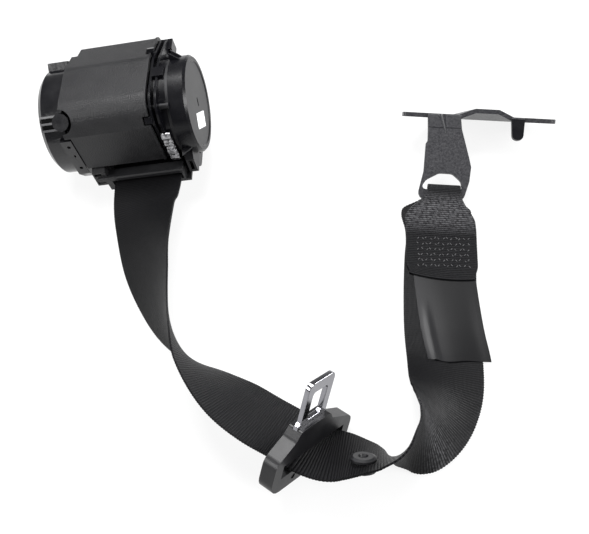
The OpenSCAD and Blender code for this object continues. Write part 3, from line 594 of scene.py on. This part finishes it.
bpy.ops.mesh.normals_make_consistent(inside=False)
bpy.ops.object.mode_set(mode="OBJECT")
film, film_tree, film_shader = new_material("satin_film", (0.05, 0.05, 0.053), 0.0, 0.38)
film_shader.inputs["Specular IOR Level"].default_value = 0.16
film_at = film_tree.nodes.new("ShaderNodeUVMap")
film_at.uv_map = "film"
film_axes = film_tree.nodes.new("ShaderNodeSeparateXYZ")
film_tint = film_tree.nodes.new("ShaderNodeValToRGB")
film_tint.color_ramp.elements[0].color = (0.013, 0.013, 0.014, 1)
film_tint.color_ramp.elements[1].position = 0.45
film_tint.color_ramp.elements[1].color = (0.004, 0.004, 0.0045, 1)
film_tree.links.new(film_at.outputs["UV"], film_axes.inputs["Vector"])
film_tree.links.new(film_axes.outputs["X"], film_tint.inputs["Fac"])
film_tree.links.new(film_tint.outputs["Color"], film_shader.inputs["Base Color"])
label.data.materials.clear()
label.data.materials.append(film)
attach(label, "retractor")
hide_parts("film_label")

# Stop button: two moulded halves of black plastic, snapped together through the webbing, which keep the
# tongue from sliding down the belt.
button_black = grained("button_plastic", (0.006, 0.006, 0.007), (0.012, 0.012, 0.013), (0.36, 0.46),
                       grain=1800, patch=60, shine=0.35)
finish_nodes(button_black, "stop_button_front", "stop_button_back")

# Tongue: a blade stamped from steel and polished, with a black moulding round its slotted foot. The belt
# runs through the slot.
eased("tongue_plate", "tongue_blade", "tongue", chrome, 0.0004)
tongue_black = grained("tongue_black_plastic", (0.005, 0.005, 0.006), (0.01, 0.01, 0.011), (0.34, 0.46),
                       grain=2000, patch=45, bump=0.00008, strength=0.5, shine=0.3)
eased("tongue_moulding", "tongue_body", "tongue", tongue_black, 0.0018, 4, flatness=30)

# End anchor: a bracket bent from 3 mm steel, black electro-coated, bolted to the vehicle. The bump of its
# plate runs out toward the back edge, and its peg takes a darker, glossier black as painted shade.
bracket = eased("anchor_bracket", "anchor_plate", "anchor", coated, 0.0006)
LEG, LEG_RISE, FALL = 55, math.radians(28), math.radians(47.4)
PLATE_DEPTH, PLATE_T = 44, 3
BUMP_RISE, BUMP_FROM, BUMP_TO = 4.5, 10, 46
SHADED_PEG = (44.5, 54.5)
leg_top = Vector((0, LEG * math.cos(LEG_RISE), LEG * math.sin(LEG_RISE)))
on_plate = (Matrix.Translation(BAR_AT + LAY) @ Matrix.Rotation(ANCHOR_TURN, 4, "Z")
            @ Matrix.Translation(leg_top) @ Matrix.Rotation(-FALL, 4, "X"))
off_plate = on_plate.inverted()
for vertex in bracket.data.vertices:
    spot = off_plate @ (vertex.co * 1000)
    if spot.y > 2 and spot.z > -PLATE_T:
        raised = BUMP_RISE * min(ease((spot.x - BUMP_FROM) / 11), ease((BUMP_TO - spot.x) / 10))
        spot.z -= raised * ease(spot.y / PLATE_DEPTH)
        vertex.co = (on_plate @ spot) * 0.001
bracket.data.materials.append(gloss_black)
# Painted shade: the peg's faces below the plate take the darker gloss black.
for face in bracket.data.polygons:
    spot = off_plate @ (face.center * 1000)
    if SHADED_PEG[0] < spot.x < SHADED_PEG[1] and spot.z < -PLATE_T - 0.1:
        face.material_index = 1

# Table, light and camera: a pale table, seen white and still taking a soft shadow, soft light from above
# and from both sides, and the view of the photograph.
bpy.ops.object.select_all(action="DESELECT")
bpy.ops.mesh.primitive_plane_add(size=8, location=(0.07, -0.1, LAY.z * 0.001 - 0.00005))
table = bpy.context.object
table.name = "table"
WHITE_SHARE = 0.86
pale, pale_tree, pale_shader = new_material("pale_table", (0.86, 0.86, 0.86), 0.0, 0.9)
seen = pale_tree.nodes.new("ShaderNodeLightPath")
seen_any = pale_tree.nodes.new("ShaderNodeMath")
seen_any.operation = "MAXIMUM"
seen_more = pale_tree.nodes.new("ShaderNodeMath")
seen_more.operation = "MAXIMUM"
seen_share = pale_tree.nodes.new("ShaderNodeMath")
seen_share.operation = "MULTIPLY"
seen_share.inputs[1].default_value = WHITE_SHARE
white = pale_tree.nodes.new("ShaderNodeEmission")
white.inputs["Strength"].default_value = 1.0
blend = pale_tree.nodes.new("ShaderNodeMixShader")
pale_tree.links.new(seen.outputs["Is Camera Ray"], seen_any.inputs[0])
pale_tree.links.new(seen.outputs["Is Glossy Ray"], seen_any.inputs[1])
pale_tree.links.new(seen_any.outputs[0], seen_more.inputs[0])
pale_tree.links.new(seen.outputs["Is Transmission Ray"], seen_more.inputs[1])
pale_tree.links.new(seen_more.outputs[0], seen_share.inputs[0])
pale_tree.links.new(seen_share.outputs[0], blend.inputs[0])
pale_tree.links.new(pale_shader.outputs[0], blend.inputs[1])
pale_tree.links.new(white.outputs[0], blend.inputs[2])
pale_tree.links.new(blend.outputs[0], pale_tree.nodes["Material Output"].inputs["Surface"])
table.data.materials.append(pale)

world = bpy.data.worlds.new("studio")
bpy.context.scene.world = world
world.use_nodes = True
sky = world.node_tree.nodes["Background"]
sky.inputs["Color"].default_value = (1, 1, 1, 1)
air = world.node_tree.nodes.new("ShaderNodeLightPath")
air_level = world.node_tree.nodes.new("ShaderNodeMapRange")
air_level.inputs["To Min"].default_value = 0.22
air_level.inputs["To Max"].default_value = 1.0
world.node_tree.links.new(air.outputs["Is Camera Ray"], air_level.inputs["Value"])
world.node_tree.links.new(air_level.outputs["Result"], sky.inputs["Strength"])


def softbox(name, place, aim, size, power):
    """Square soft light turned to a point."""
    lamp = bpy.data.lights.new(name, "AREA")
    lamp.shape = "SQUARE"
    lamp.size = size
    lamp.energy = power
    holder = bpy.data.objects.new(name, lamp)
    bpy.context.scene.collection.objects.link(holder)
    holder.location = place
    holder.rotation_euler = (Vector(aim) - Vector(place)).to_track_quat("-Z", "Y").to_euler()


softbox("top_softbox", (-0.1, 0.35, 1.1), (0.05, -0.1, 0), 0.6, 26)
softbox("left_softbox", (-1.0, -0.5, 0.7), (0, -0.1, 0), 0.5, 13)
softbox("side_strip", (0.95, 0.3, 0.15), (0.1, -0.1, 0.02), 0.35, 7)
softbox("right_softbox", (1.1, -0.3, 0.8), (0.1, -0.1, 0), 0.5, 15)

eye = bpy.data.cameras.new("photo_view")
eye.lens = 55.0
eye.sensor_width = 36
eye.sensor_fit = "HORIZONTAL"
viewer = bpy.data.objects.new("photo_view", eye)
bpy.context.scene.collection.objects.link(viewer)
REACH, RISE = 0.59, math.radians(57)
viewer.location = LAY * 0.001 + Vector((0, -REACH * math.cos(RISE), REACH * math.sin(RISE)))
viewer.rotation_euler = (math.radians(33), 0, 0)
bpy.context.scene.camera = viewer
bpy.context.scene.view_settings.view_transform = "Standard"
